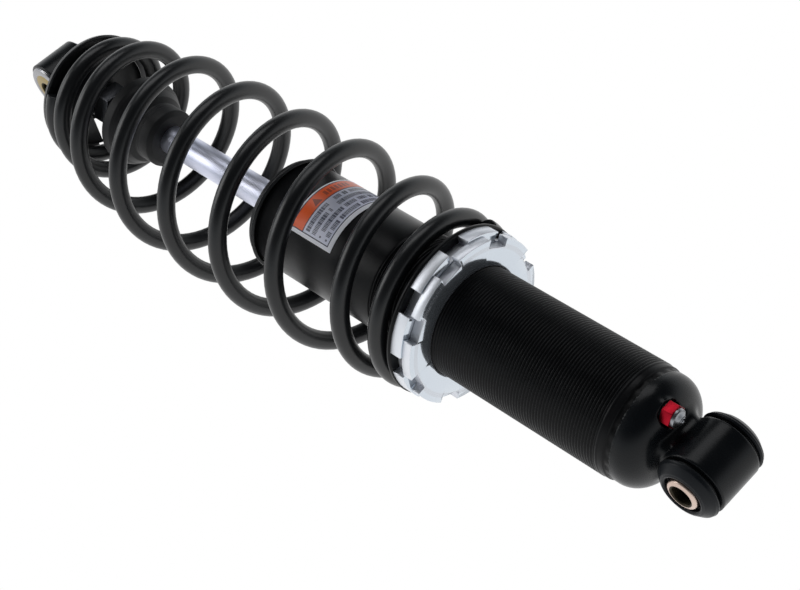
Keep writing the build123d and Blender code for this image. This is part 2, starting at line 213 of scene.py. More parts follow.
def ringMarks(tree, place, colour, rough, height):
    # faces polished enough to mirror the tube and coloured a darker blue-grey as a painted reflection of it, rims
    # satin, and milled notch floors duller and speckled
    f = ringFacts
    colour, rough, height = turnedMarks(tree, place, colour, rough, height)
    facing = tree.split(tree.node("ShaderNodeNewGeometry", out="True Normal"))[0]
    face = tree.ease(tree.math("ABSOLUTE", facing), f["faceFrom"], f["faceTo"])
    # painted reflection: faces turned along X are mixed towards a darker bluish tone
    colour = tree.mixColour(face * 0.7, colour, rgba(f["face"]))
    x, y, z, radius = radiusOf(tree, place)
    floor = tree.ease(radius, f["floorFrom"] * mm, f["floorTo"] * mm)
    floor = floor * (1.0 - tree.ease(radius, f["rimFrom"] * mm, f["rimTo"] * mm))
    speckle = tree.noise(place, 2600.0, 2.0)
    colour = tree.mixColour(floor * 0.35, colour, rgba(f["floor"]))
    rough = rough - face * f["polish"] + floor * 0.12
    return colour, rough, height * (1.0 - face * 0.9) + floor * speckle


def rodMarks(tree, place, colour, rough, height):
    # ground lines round the rod, almost polished out
    x, y, z = tree.split(place)
    lines = tree.noise(tree.join(x * 3000.0, y * 60.0, z * 60.0), 1.0, 2.0)
    return colour, rough + (lines - 0.5) * 0.05, height * 0.3 + lines


def zincMarks(tree, place, colour, rough, height):
    # bluish and yellowish bloom of zinc plate
    bloom = tree.ease(tree.noise(place, 140.0, 3.0), 0.35, 0.7)
    return tree.mixColour(bloom * 0.5, colour, rgba((0.33, 0.34, 0.4))), rough, height


def paintedBoreShade(tree, place, colour, rough, height):
    # painted shade: a dark bore inside the bright ring of the sleeve's end
    x, y, z = tree.split(place)
    x = x - (x > eyeToEye / 2 * mm) * (eyeToEye * mm)
    inside = 1.0 - tree.ease((x * x + z * z) ** 0.5, 5.38 * mm, 5.55 * mm)
    # painted shade: inside the bore the colour is mixed towards near black
    colour = tree.mixColour(inside * 0.95, colour, rgba((0.02, 0.018, 0.008)))
    return colour, rough + inside * 0.2, height


def mouldMarks(tree, place, colour, rough, height):
    # specks of dust and a fainter, wider mottle on moulded rubber
    dust = tree.ease(tree.noise(place, 1900.0, 2.0), 0.66, 0.8)
    colour = tree.mixColour(dust * 0.16, colour, rgba((0.16, 0.16, 0.17)))
    return colour, rough + dust * 0.1, height


labelPrint = {
    "near": 190.4, "far": 217.0, "from": 46.0, "sweep": 120.0, "radius": 26.16,
    "rodMargin": 0.8, "nearMargin": 2.4, "bottomMargin": 1.8, "line": 0.5,
    "band": 6.8, "rows": 4, "rowIndent": 1.4, "rowPitch": 3.75, "rowHeight": 2.4,
    "markIndent": 1.6, "bulletWidth": 2.2, "cell": 1.3,
    "signAlong": 17.0, "signWide": 4.6, "signIndent": 1.0, "signHigh": 4.4,
    "barFrom": 22.5, "barTo": 38.0, "barHalf": 1.5, "barCell": 2.2,
    "white": (0.93, 0.94, 1.0), "panel": (0.76, 0.78, 0.92), "ink": (0.02, 0.024, 0.07),
    "orange": (0.98, 0.12, 0.008), "sign": (0.12, 0.02, 0.01),
}


def within(value, low, high):
    return (value > low) * (value < high)


def labelRows(tree, across, along, low, foot):
    # rows of short marks that spell nothing, the first two rows with a bullet
    f = labelPrint
    row = (across - low - f["rowIndent"]) / f["rowPitch"]
    rowNumber = tree.math("FLOOR", row)
    inRow = within(row - rowNumber, 0.0, f["rowHeight"] / f["rowPitch"]) * within(row, 0.0, f["rows"] * 1.0)
    start = foot + f["markIndent"]
    bulleted = rowNumber < 1.5
    cell = (along - start - bulleted * f["bulletWidth"]) / f["cell"]
    cellNumber = tree.math("FLOOR", cell)
    chance = tree.node("ShaderNodeTexWhiteNoise", {"noise_dimensions": "2D"},
                       {"Vector": tree.join(cellNumber, rowNumber, 0.0)})
    stroke = cell - cellNumber
    inMark = within(stroke, 0.04, 0.88) * (chance > 0.17) * (cell > 0.0)
    inMark = inMark * (1.0 - within(stroke, 0.32, 0.5) * (chance > 0.5))
    bullet = bulleted * within(along, start + 0.2, start + 1.1) * within(row - rowNumber, 0.14, 0.4)
    return inRow * (inMark + bullet)


def labelSign(tree, across, along, low, high):
    # a solid triangle, its base towards the panel, and a broken bar
    f = labelPrint
    rise = (along - f["signAlong"]) / f["signWide"]
    slope = (across - low - f["signIndent"]) / f["signHigh"]
    triangle = within(slope, 0.0, 1.0) * (tree.math("ABSOLUTE", rise) < (1.0 - slope) * 0.5)
    middle = (low + high) / 2
    bar = within(across, middle - f["barHalf"], middle + f["barHalf"]) * within(along, f["barFrom"], f["barTo"])
    barCell = (along - f["barFrom"]) / f["barCell"]
    bar = bar * within(barCell - tree.math("FLOOR", barCell), 0.0, 0.7)
    return triangle + bar * 0.75


def labelMarks(tree, place, colour, rough, height):
    # a plain printed sticker: an orange band and a framed panel
    f = labelPrint
    x, y, z = tree.split(place)
    across = x / mm - f["near"]  # millimetres from the near edge
    angle = tree.math("ARCTAN2", z, y) * (180 / math.pi)
    along = (angle - f["from"]) * (math.pi / 180 * f["radius"])  # millimetres up from the bottom edge
    top = f["far"] - f["near"] - f["rodMargin"]
    split = top - f["band"]
    low, foot, line = f["nearMargin"], f["bottomMargin"], f["line"]
    frameArea = within(across, low, top) * (along > foot)
    panel = within(across, low + line, split - line) * (along > foot + line)
    band = within(across, split, top - line) * (along > foot + line)
    marks = panel * labelRows(tree, across, along, low, foot)
    sign = band * labelSign(tree, across, along, split, top - line)
    made = tree.mixColour(frameArea, rgba(f["white"]), rgba(f["ink"]))
    made = tree.mixColour(panel, made, rgba(f["panel"]))
    made = tree.mixColour(band, made, rgba(f["orange"]))
    made = tree.mixColour(marks * 0.85, made, rgba(f["ink"]))
    made = tree.mixColour(sign * 0.8, made, rgba(f["sign"]))
    return made, rough, height


finishFacts = {
    "threadBlack": {
        "colour": (0.0042, 0.0044, 0.0050), "second": (0.0066, 0.0068, 0.0074), "roughness": 0.36,
        "patchy": 0.1, "grainScale": 1500.0, "relief": 0.1, "Specular IOR Level": 0.12,
        "marks": threadCrestSheenAndWear,
    },
    "capGloss": {
        "colour": (0.0052, 0.0064, 0.0080), "second": (0.0078, 0.0092, 0.011), "roughness": 0.27,
        "patchy": 0.12, "grainScale": 700.0, "relief": 0.08, "Specular IOR Level": 0.2,
    },
    "powderBlack": {
        "colour": (0.0058, 0.0066, 0.0078), "second": (0.0084, 0.0094, 0.0108), "roughness": 0.31,
        "patchy": 0.1, "grainScale": 1300.0, "relief": 0.16, "Specular IOR Level": 0.45,
    },
    "ringAluminium": {
        "colour": (0.80, 0.825, 0.87), "second": (0.77, 0.79, 0.85), "roughness": 0.46, "patchy": 0.05,
        "grainScale": 1500.0, "relief": 0.05, "Metallic": 0.92, "marks": ringMarks,
    },
    "rodChrome": {
        "colour": (0.78, 0.80, 0.92), "second": (0.70, 0.73, 0.88), "roughness": 0.36, "patchy": 0.05,
        "grainy": 0.03, "grainScale": 900.0, "relief": 0.02, "Metallic": 1.0, "marks": rodMarks,
    },
    "cupSatin": {
        "colour": (0.011, 0.0125, 0.0135), "second": (0.016, 0.0175, 0.0185), "roughness": 0.42,
        "grainScale": 2100.0, "relief": 0.2, "Specular IOR Level": 0.4,
    },
    "bumpRubber": {
        "colour": (0.007, 0.0075, 0.0085), "second": (0.011, 0.0113, 0.0125), "roughness": 0.5,
        "grainScale": 1700.0, "relief": 0.25, "Specular IOR Level": 0.3, "marks": mouldMarks,
    },
    "bushBlack": {
        "colour": (0.0075, 0.0092, 0.0118), "second": (0.0112, 0.0132, 0.0162), "roughness": 0.36,
        "patchy": 0.1, "grainScale": 1200.0, "relief": 0.12, "Specular IOR Level": 0.16,
        "marks": mouldMarks,
    },
    "sealRubber": {
        "colour": (0.015, 0.015, 0.016), "second": (0.022, 0.022, 0.022), "roughness": 0.5,
        "grainScale": 1500.0, "relief": 0.2, "marks": mouldMarks,
    },
    "labelFilm": {
        "colour": (0.8, 0.81, 0.88), "second": (0.8, 0.81, 0.88), "roughness": 0.32, "grainScale": 900.0,
        "relief": 0.04, "marks": labelMarks,
    },
    "anodisedRed": {
        "colour": (0.44, 0.004, 0.02), "second": (0.36, 0.003, 0.014), "roughness": 0.34,
        "grainScale": 1500.0, "relief": 0.08, "Metallic": 0.85, "marks": turnedMarks,
    },
    "brightSteel": {
        "colour": (0.36, 0.37, 0.39), "second": (0.3, 0.31, 0.33), "roughness": 0.34, "grainScale": 1600.0,
        "relief": 0.08, "Metallic": 1.0, "marks": turnedMarks,
    },
    "zincSteel": {
        "colour": (0.34, 0.34, 0.35), "second": (0.27, 0.27, 0.28), "roughness": 0.28, "grainScale": 1100.0,
        "relief": 0.1, "Metallic": 1.0, "marks": zincMarks,
    },
    "darkSteel": {
        "colour": (0.16, 0.165, 0.18), "second": (0.11, 0.115, 0.125), "roughness": 0.32,
        "grainScale": 1100.0, "relief": 0.1, "Metallic": 1.0, "marks": turnedMarks,
    },
    "machinedAluminium": {
        "colour": (0.72, 0.73, 0.75), "second": (0.64, 0.65, 0.67), "roughness": 0.34, "grainScale": 1300.0,
        "relief": 0.1, "Metallic": 1.0, "marks": turnedMarks,
    },
    "sleeveBronze": {
        "colour": (0.70, 0.57, 0.50), "second": (0.62, 0.48, 0.41), "roughness": 0.36, "patchy": 0.12,
        "grainScale": 1400.0, "relief": 0.12, "Metallic": 1.0, "marks": paintedBoreShade,
    },
    "plainBronze": {
        "colour": (0.34, 0.26, 0.1), "second": (0.26, 0.19, 0.07), "roughness": 0.34, "patchy": 0.12,
        "grainScale": 1400.0, "relief": 0.12, "Metallic": 1.0, "marks": paintedBoreShade,
    },
    "bandPlastic": {
        "colour": (0.09, 0.15, 0.11), "second": (0.12, 0.18, 0.13), "roughness": 0.45, "grainScale": 1300.0,
        "relief": 0.12,
    },
}
finishes = {name: finish(name, facts) for name, facts in finishFacts.items()}
print("materials:", len(finishes))


# Mesh making

def placed(name, points, faces, material, sharp=32.0, tidy=True):
    # a mesh object at the origin from millimetre points, its normals outwards
    # corners above sharp degrees are kept crisp
    mesh = bpy.data.meshes.new(name)
    mesh.from_pydata([tuple(c * mm for c in p) for p in points], [], faces)
    if tidy:
        shape = bmesh.new()
        shape.from_mesh(mesh)
        bmesh.ops.remove_doubles(shape, verts=shape.verts, dist=0.002 * mm)
        bmesh.ops.recalc_face_normals(shape, faces=shape.faces)
        shape.to_mesh(mesh)
        shape.free()
    mesh.materials.append(material)
    mesh.polygons.foreach_set("use_smooth", [True] * len(mesh.polygons))
    mesh.set_sharp_from_angle(angle=math.radians(sharp))
    thing = bpy.data.objects.new(name, mesh)
    scene.collection.objects.link(thing)
    return thing


def softened(outline, closed=True, steps=4):
    # an outline whose corners of (along, radius, rounding) are turned into small arcs
    # slerp gives spokes of unit length, so every arc has a radius of 1 mm about its rounding's centre:
    # a corner with less rounding stands out past its faces, and one with more is cut in deeper
    points = [(p[0], p[1], p[2] if len(p) > 2 else 0.0) for p in outline]
    made = []
    for i, (a, r, rounding) in enumerate(points):
        if rounding <= 0 or (not closed and i in (0, len(points) - 1)):
            made.append((a, r))
            continue
        here, before = Vector((a, r)), Vector(points[i - 1][:2])
        after = Vector(points[(i + 1) % len(points)][:2])
        back, on = (before - here), (after - here)
        turn = math.pi - back.angle(on)
        if turn < 0.05:
            made.append((a, r))
            continue
        reach = min(rounding * math.tan(turn / 2), back.length * 0.49, on.length * 0.49)
        radius = reach / math.tan(turn / 2)
        middle = here + (back.normalized() + on.normalized()).normalized() * (radius / math.cos(turn / 2))
        first, last = here + back.normalized() * reach, here + on.normalized() * reach
        for k in range(steps + 1):
            spoke = (first - middle).slerp(last - middle, k / steps)
            made.append(tuple(middle + spoke))
    return made


def turned(name, outline, material, segments=128, centre=None, closed=True, **more):
    # an outline revolved about X, or about the line along Y through (centre, 0, 0)
    rows = softened(outline, closed)
    points, faces = [], []
    for a, r in rows:
        for k in range(segments):
            angle = 2 * math.pi * k / segments
            c, s = r * math.cos(angle), r * math.sin(angle)
            points.append((a, c, s) if centre is None else (centre + c, a, s))
    last = len(rows) if closed else len(rows) - 1
    for i in range(last):
        j = (i + 1) % len(rows)
        for k in range(segments):
            n = (k + 1) % segments
            faces.append((i * segments + k, i * segments + n, j * segments + n, j * segments + k))
    return placed(name, points, faces, material, **more)


def grown(name, field, low, high, cell, material):
    # the skin of a field of (x, y, z) that is negative inside, as quads
    # each point is then moved onto the true surface
    axes = [np.arange(a, b + cell, cell) for a, b in zip(low, high)]
    value = field(*np.meshgrid(*axes, indexing="ij"))
    inside = value < 0
    size = np.array(value.shape) - 1
    total = np.zeros((*size, 3))
    count = np.zeros(size)
    quads = []
    for d in range(3):
        near, far = [slice(None)] * 3, [slice(None)] * 3
        near[d], far[d] = slice(0, -1), slice(1, None)
        v0, v1 = value[tuple(near)], value[tuple(far)]
        spots = np.argwhere(inside[tuple(near)] != inside[tuple(far)])
        e, f = [k for k in range(3) if k != d]
        spots = spots[(spots[:, e] > 0) & (spots[:, f] > 0) & (spots[:, e] < size[e]) & (spots[:, f] < size[f])]
        a, b = v0[tuple(spots.T)], v1[tuple(spots.T)]
        place = spots.astype(float)
        place[:, d] += a / (a - b)
        ring = []
        for de, df in ((0, 0), (-1, 0), (-1, -1), (0, -1)):
            box = spots.copy()
            box[:, e] += de
            box[:, f] += df
            np.add.at(total, tuple(box.T), place)
            np.add.at(count, tuple(box.T), 1)
            ring.append(box)
        quads.append((ring, (a < 0) ^ (d == 1)))
    used = count > 0
    index = np.full(size, -1)
    index[used] = np.arange(used.sum())
    points = total[used] / count[used][:, None] * cell + np.array([axis[0] for axis in axes])
    step = 0.01

    def slope(p):
        sides = [field(*(p + e).T) - field(*(p - e).T) for e in step * np.eye(3)]
        return np.stack(sides, 1) / (2 * step)

    for _ in range(5):
        g = slope(points)
        move = (field(*points.T) / np.maximum((g * g).sum(1), 0.05))[:, None] * g
        reach = np.linalg.norm(move, axis=1, keepdims=True)
        points = points - move * np.minimum(1.0, 0.4 * cell / np.maximum(reach, 1e-9))
    faces = []
    for ring, flip in quads:
        corners = np.stack([index[tuple(box.T)] for box in ring], 1)
        corners[~flip] = corners[~flip][:, ::-1]
        faces.extend(map(tuple, corners.tolist()))
    thing = placed(name, points.tolist(), faces, material, sharp=50.0, tidy=False)
    shape = bmesh.new()
    shape.from_mesh(thing.data)
    bmesh.ops.recalc_face_normals(shape, faces=shape.faces)
    shape.to_mesh(thing.data)
    shape.free()
    return thing


def smoothMin(a, b, k):
    h = np.clip(0.5 + 0.5 * (b - a) / k, 0, 1)
    return b * (1 - h) + a * h - k * h * (1 - h)


def smoothMax(a, b, k):
    return -smoothMin(-a, -b, k)


def drum(along, radial, start, end, radius, rounding=0.0):
    # a solid cylinder with rounded rims
    p = radial - radius + rounding
    q = np.abs(along - (start + end) / 2) - (end - start) / 2 + rounding
    return np.minimum(np.maximum(p, q), 0) + np.hypot(np.maximum(p, 0), np.maximum(q, 0)) - rounding


def block(u, v, w, rounding):
    # a rounded box from its three distances past each half size
    p, q, s = u + rounding, v + rounding, w + rounding
    outside = np.sqrt(np.maximum(p, 0) ** 2 + np.maximum(q, 0) ** 2 + np.maximum(s, 0) ** 2)
    return outside + np.minimum(np.maximum(np.maximum(p, q), s), 0) - rounding


def applied(thing):
    # the evaluated mesh as a plain object, its modifiers gone
    bpy.context.view_layer.update()
    graph = bpy.context.evaluated_depsgraph_get()
    mesh = bpy.data.meshes.new_from_object(thing.evaluated_get(graph))
    name = thing.name
    bpy.data.objects.remove(thing)
    made = bpy.data.objects.new(name, mesh)
    scene.collection.objects.link(made)
    return made


def smoothed(thing, sharp):
    thing.data.polygons.foreach_set("use_smooth", [True] * len(thing.data.polygons))
    thing.data.set_sharp_from_angle(angle=math.radians(sharp))
    return thing


def bevelled(thing, width, angle, segments, harden=False):
    # small rounds on the edges that turn by more than angle degrees
    soften = thing.modifiers.new("soften", "BEVEL")
    soften.width = width * mm
    soften.segments = segments
    soften.limit_method = "ANGLE"
    soften.angle_limit = math.radians(angle)
    soften.harden_normals = harden
    return applied(thing)


class Recipe(Tree):
    # a Geometry Nodes tree with named inputs, ending in Realize Instances and Set Material
    def __init__(self, name, **inputs):
        group = bpy.data.node_groups.new(name, "GeometryNodeTree")
        super().__init__(group)
        group.interface.new_socket("Geometry", in_out="INPUT", socket_type="NodeSocketGeometry")
        self.sockets = {}
        for label, value in inputs.items():
            kind = "NodeSocketInt" if isinstance(value, int) else "NodeSocketFloat"
            socket = group.interface.new_socket(label, in_out="INPUT", socket_type=kind)
            self.sockets[label] = (socket.identifier, value)
        group.interface.new_socket("Geometry", in_out="OUTPUT", socket_type="NodeSocketGeometry")
        self.entry = group.nodes.new("NodeGroupInput")

    def input(self, label):
        return Wire(self, self.entry.outputs[label])

    def close(self, geometry, material):
        real = self.node("GeometryNodeRealizeInstances", None, {0: geometry})
        dressed = self.node("GeometryNodeSetMaterial", None, {"Geometry": real, "Material": material})
        self.plug(self.nodes.nodes.new("NodeGroupOutput").inputs[0], dressed)

    def run(self, thing):
        modifier = thing.modifiers.new(self.nodes.name, "NODES")
        modifier.node_group = self.nodes
        for identifier, value in self.sockets.values():
            modifier[identifier] = value
        return applied(thing)


def fitted(thing, body, slot, *nodes):
    # the piece rides on its body and stands for its CAD nodes
    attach(thing, body)
    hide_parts(*nodes)
    return thing


# Tube: crimped foot, M52 thread, plain upper part

tube = {
    "start": 28.6, "end": 240.0, "bore": 22.5, "plain": 25.98, "crest": 26.0, "segments": 112,
    "threadStart": 36.3, "threadEnd": 163.5, "pitch": 1.5, "depth": 0.6, "runout": 1.6, "rowsPerPitch": 8,
    # the rolled foot: station and radius before, along and after its scallops
    "roll": [(28.6, 24.4), (28.75, 24.75), (29.1, 25.0)],
    "scallopsFrom": 29.4, "scallopStep": 0.3, "scallopRows": 11, "scallopRadius": 25.12,
    "neck": [(32.65, 25.2), (32.85, 25.45), (33.0, 25.62), (33.2, 25.7), (35.4, 25.7), (35.7, 25.75), (35.9, 25.9)],
    "crimps": 24, "crimpDepth": 0.5, "crimpStart": 29.0, "crimpEnd": 32.4, "outside": 24.0,
}


def threadRecipe():
    # cuts a right-hand thread and the scallops of the crimp into a plain turned tube
    f = tube
    recipe = Recipe(
        "ThreadAndCrimp", Pitch=f["pitch"] * mm, Depth=f["depth"] * mm, Start=f["threadStart"] * mm,
        End=f["threadEnd"] * mm, Runout=f["runout"] * mm, Outside=f["outside"] * mm, Crimps=f["crimps"],
        CrimpDepth=f["crimpDepth"] * mm, CrimpStart=f["crimpStart"] * mm, CrimpEnd=f["crimpEnd"] * mm)
    take = recipe.input
    place = recipe.node("GeometryNodeInputPosition")
    x, y, z = recipe.split(place)
    radius = (y * y + z * z) ** 0.5
    angle = recipe.math("ARCTAN2", z, y)
    turns = angle / (2 * math.pi)
    wave = recipe.math("PINGPONG", x / take("Pitch") - turns, 0.5) * 2.0
    groove = recipe.ease(wave, 0.12, 0.88)
    lead = recipe.ease(x, take("Start"), take("Start") + take("Runout"))
    lead = lead * (1.0 - recipe.ease(x, take("End") - take("Runout"), take("End")))
    scallop = recipe.math("ABSOLUTE", recipe.math("SINE", angle * take("Crimps") / 2))
    window = recipe.ease(x, take("CrimpStart") - 0.6 * mm, take("CrimpStart") + 0.6 * mm)
    window = window * (1.0 - recipe.ease(x, take("CrimpEnd") - 0.5 * mm, take("CrimpEnd")))
    cut = groove * take("Depth") * lead + (1.0 - scallop) * take("CrimpDepth") * window
    cut = cut * (radius > take("Outside")) / radius
    sockets = {"Geometry": take("Geometry"), "Offset": recipe.join(0.0, cut * y * -1.0, cut * z * -1.0)}
    recipe.close(recipe.node("GeometryNodeSetPosition", None, sockets), finishes["threadBlack"])
    return recipe


def makeTube():
    f = tube
    length = f["threadEnd"] - f["threadStart"]
    rows = int(length / f["pitch"] * f["rowsPerPitch"])
    outline = [(f["start"], f["bore"])] + f["roll"]
    outline += [(f["scallopsFrom"] + f["scallopStep"] * k, f["scallopRadius"]) for k in range(f["scallopRows"])]
    outline += f["neck"]
    outline += [(f["threadStart"] + length * k / rows, f["crest"]) for k in range(rows + 1)]
    outline += [(f["threadEnd"] + 0.4, f["plain"]), (f["end"] - 0.4, f["plain"])]
    outline += [(f["end"], f["plain"] - 0.4), (f["end"], f["bore"])]
    body = turned("bodyTube", outline, finishes["threadBlack"], segments=f["segments"], sharp=60.0)
    body = threadRecipe().run(body)
    return fitted(body, "cylinder", "tube_black", "body_tube")


makeTube()
print("tube")


# Spring: round wire on a barrel shaped, right-handed coil

spring = {
    "wire": 4.3, "phase": 57.4, "stepsPerTurn": 72, "aroundWire": 36, "endRound": 0.5,
    # turn, station along X, mean radius, bow towards +Y
    "turns": [
        (-0.75, 141.6, 37.5, 0.0), (0.0, 146.6, 37.6, 0.0), (0.5, 154.6, 38.6, 0.2), (1.0, 167.6, 41.6, 0.6),
        (2.0, 206.4, 43.8, 1.5), (3.0, 242.6, 44.2, 2.0), (4.0, 279.0, 43.8, 2.2), (5.0, 315.4, 43.2, 2.2),
        (6.0, 352.0, 38.3, 1.8), (6.5, 364.6, 34.2, 1.2), (7.0, 375.0, 31.4, 0.6), (7.95, 384.2, 29.8, 0.0)],
    "stillTurn": -0.1, "movingTurn": 7.2, "laps": range(-2, 10),
}


def springAt(turn, column):
    # a column of the rows at any turn, a smooth cubic through them
    rows = spring["turns"]
    k = max(i for i in range(len(rows) - 1) if rows[i][0] <= turn or i == 0)
    t0, t1 = rows[k][0], rows[k + 1][0]

    def slope(i):
        low, high = rows[max(i - 1, 0)], rows[min(i + 1, len(rows) - 1)]
        return (high[column] - low[column]) / (high[0] - low[0])

    t = (turn - t0) / (t1 - t0)
    steps = rows[k][column] * (2 * t**3 - 3 * t**2 + 1) + rows[k + 1][column] * (3 * t**2 - 2 * t**3)
    return (steps + slope(k) * (t1 - t0) * (t**3 - 2 * t**2 + t)
            + slope(k + 1) * (t1 - t0) * (t**3 - t**2))


def springLine(turns):
    line = bpy.data.curves.new("springLine", "CURVE")
    line.dimensions = "3D"
    spline = line.splines.new("POLY")
    spline.points.add(len(turns) - 1)
    for point, turn in zip(spline.points, turns):
        angle = math.radians(spring["phase"]) + 2 * math.pi * turn
        reach = springAt(turn, 2)
        y = reach * math.cos(angle) + springAt(turn, 3)
        point.co = (springAt(turn, 1) * mm, y * mm, reach * math.sin(angle) * mm, 1)
    thing = bpy.data.objects.new("spring", line)
    scene.collection.objects.link(thing)
    return thing


def springShares(points, turns):
    # how far each point follows the moving end: every section of the wire moves as one,
    # in step with its station, so the wire stays round when the coils close up
    bearing = np.arctan2(points[:, 2], points[:, 1]) / (2 * math.pi) - spring["phase"] / 360
    table = np.array(turns)
    stations = np.array([springAt(t, 1) for t in turns]) * mm
    radii = np.array([springAt(t, 2) for t in turns]) * mm
    near = np.zeros(len(points))
    best = np.full(len(points), np.inf)
    for lap in spring["laps"]:
        turn = np.clip(bearing + lap, turns[0], turns[-1])
        along = np.interp(turn, table, stations) - points[:, 0]
        out = np.interp(turn, table, radii) - np.hypot(points[:, 1], points[:, 2])
        off = np.hypot(along, out)
        closer = off < best
        best[closer], near[closer] = off[closer], turn[closer]
    still, moving = springAt(spring["stillTurn"], 1) * mm, springAt(spring["movingTurn"], 1) * mm
    return np.clip((np.interp(near, table, stations) - still) / (moving - still), 0, 1)


def makeSpring():
    first, last = spring["turns"][0][0], spring["turns"][-1][0]
    steps = round((last - first) * spring["stepsPerTurn"])
    turns = [first + (last - first) * k / steps for k in range(steps + 1)]
    recipe = Recipe("WireOnCoil", WireRadius=spring["wire"] * mm, AroundWire=spring["aroundWire"])
    sockets = {"Resolution": recipe.input("AroundWire"), "Radius": recipe.input("WireRadius")}
    section = recipe.node("GeometryNodeCurvePrimitiveCircle", None, sockets)
    sockets = {"Curve": recipe.input("Geometry"), "Profile Curve": section, "Fill Caps": True}
    wire = recipe.node("GeometryNodeCurveToMesh", None, sockets)
    smooth = recipe.node("GeometryNodeSetShadeSmooth", None, {"Geometry": wire, "Shade Smooth": True})
    recipe.close(smooth, finishes["powderBlack"])
    coil = recipe.run(springLine(turns))
    coil.data.set_sharp_from_angle(angle=math.radians(50))
    coil = bevelled(coil, spring["endRound"], 60, 2)
    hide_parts("spring")
    springAt(spring["stillTurn"], 1) * mm
    springAt(spring["movingTurn"], 1) * mm
    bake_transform(coil)
    shares = springShares(np.array([v.co for v in coil.data.vertices]), turns)


makeSpring()
print("spring")


# Lower end cap and upper eye, forged shapes with blended corners

eye = {"radius": 14.8, "half": 11.5, "bore": 11.2, "rim": 0.7}
endCap = {
    "seam": 28.4, "face": 16.1, "core": 11.0, "radius": 25.1, "spigot": 22.45, "spigotEnd": 48.0,
    "chamber": 19.5, "chamberStart": 23.5, "valveHeight": 18.2, "valveSeat": 20.6, "spotRadius": 5.5,
    "bossRadius": 5.6, "neckMiddle": 10.0, "neckHalfLength": 14.0, "neckHalfWidth": 10.9, "neckHalfHeight": 10.6,
}
upperEye = {
    "station": eyeToEye, "shank": 9.5, "shankStart": 377.0, "socket": 7.05, "socketEnd": 396.1,
    "collarStart": 391.65, "collarEnd": 394.15, "collar": 16.0,
    "neckMiddle": 400.0, "neckHalfLength": 8.0, "neck": 11.2,
}


def eyeField(x, y, z, station, field, k):
    tubeSkin = drum(y, np.hypot(x - station, z), -eye["half"], eye["half"], eye["radius"], eye["rim"])
    return smoothMax(smoothMin(field, tubeSkin, k), eye["bore"] - np.hypot(x - station, z), 0.4)


def capField(x, y, z):
    f = endCap
    r = np.hypot(y, z)
    reachX, reachR = f["seam"] - f["face"], f["radius"] - f["core"]
    along = np.maximum(f["seam"] - x, 0) / reachX
    out = np.maximum(r - f["core"], 0) / reachR
    dome = (np.hypot(along, out) - 1) * np.minimum(reachX, reachR)
    dome = np.maximum(dome, x - (f["seam"] + 2.0))
    lip = drum(x, r, f["seam"] - 1, f["spigotEnd"], f["spigot"], 0.8)
    flare = np.maximum(x - 12, 0) * 0.25
    neck = block(np.abs(x - f["neckMiddle"]) - f["neckHalfLength"], np.abs(y) - f["neckHalfWidth"] - flare,
                 np.abs(z) - f["neckHalfHeight"], 4.0)
    field = smoothMin(np.minimum(dome, lip), neck, 3.5)
    fromValve = np.hypot(y, z - f["valveHeight"])
    boss = drum(x, fromValve, f["valveSeat"], f["chamberStart"] + 1, f["bossRadius"], 0.3)
    field = smoothMin(field, boss, 0.8)
    field = smoothMax(field, -drum(x, fromValve, 0, f["valveSeat"], f["spotRadius"]), 0.7)
    field = np.maximum(field, -drum(x, r, f["chamberStart"], f["spigotEnd"] + 5, f["chamber"]))
    return eyeField(x, y, z, 0.0, field, 1.6)


def upperField(x, y, z):
    f = upperEye
    r = np.hypot(y, z)
    shank = drum(x, r, f["shankStart"], f["socketEnd"] + 2, f["shank"], 0.7)
    collar = drum(x, r, f["collarStart"], f["collarEnd"], f["collar"], 0.9)
    widen = np.clip((x - 395) / 10, 0, 1)
    neck = block(np.abs(x - f["neckMiddle"]) - f["neckHalfLength"], np.abs(y) - (f["neck"] - 0.4 * widen),
                 np.abs(z) - f["neck"] + 0.5 * widen, 5.0)
    field = smoothMin(smoothMin(shank, collar, 0.5), neck, 1.6)
    field = np.maximum(field, -drum(x, r, f["shankStart"] - 5, f["socketEnd"], f["socket"]))
    return eyeField(x, y, z, f["station"], field, 1.6)


capCell, upperCell = 0.55, 0.5  # grid steps of the two forgings
cap = grown("endCap", capField, (-15.5, -25.7, -25.7), (49.0, 26.0, 26.0), capCell, finishes["capGloss"])
fitted(cap, "cylinder", "cap_black", "lower_end_cap")
top = grown("upperEye", upperField, (375.8, -17.0, -17.0), (428.6, 17.2, 17.2), upperCell, finishes["capGloss"])
fitted(top, "rod", "cap_black", "upper_eye")
print("forgings:", len(cap.data.polygons), len(top.data.polygons))


# Eye bushes and sleeves

bush = {
    "inner": 7.25, "body": 11.18, "seat": 11.52, "neck": 12.0, "gap": 2.0, "lip": 14.0, "rim": 1.6,
    "face": 10.6, "faceEnd": 17.7, "recess": 9.3, "recessDepth": 2.6, "middle": 0.2,
}
sleeve = {"bore": 5.3, "radius": 7.0, "half": 18.2}
steelBush = {"inner": 9.85, "flange": 12.6, "thick": 0.7}
upperSleeve = {"bore": 5.3, "radius": 9.8, "half": 12.7}


def makeBush(name, outline, station, body, finishName, slot, node):
    half = turned(name, outline, finishes[finishName], segments=112, centre=station)
    fitted(half, body, slot, node)


def makeSleeve(name, f, station, node, finishName):
    outline = [(-f["half"], f["bore"], 0.3), (-f["half"], f["radius"], 0.7)]
    outline += [(f["half"], f["radius"], 0.7), (f["half"], f["bore"], 0.3)]
    made = turned(name, outline, finishes[finishName], segments=96, centre=station)
    fitted(made, node, "bush_bronze", node)


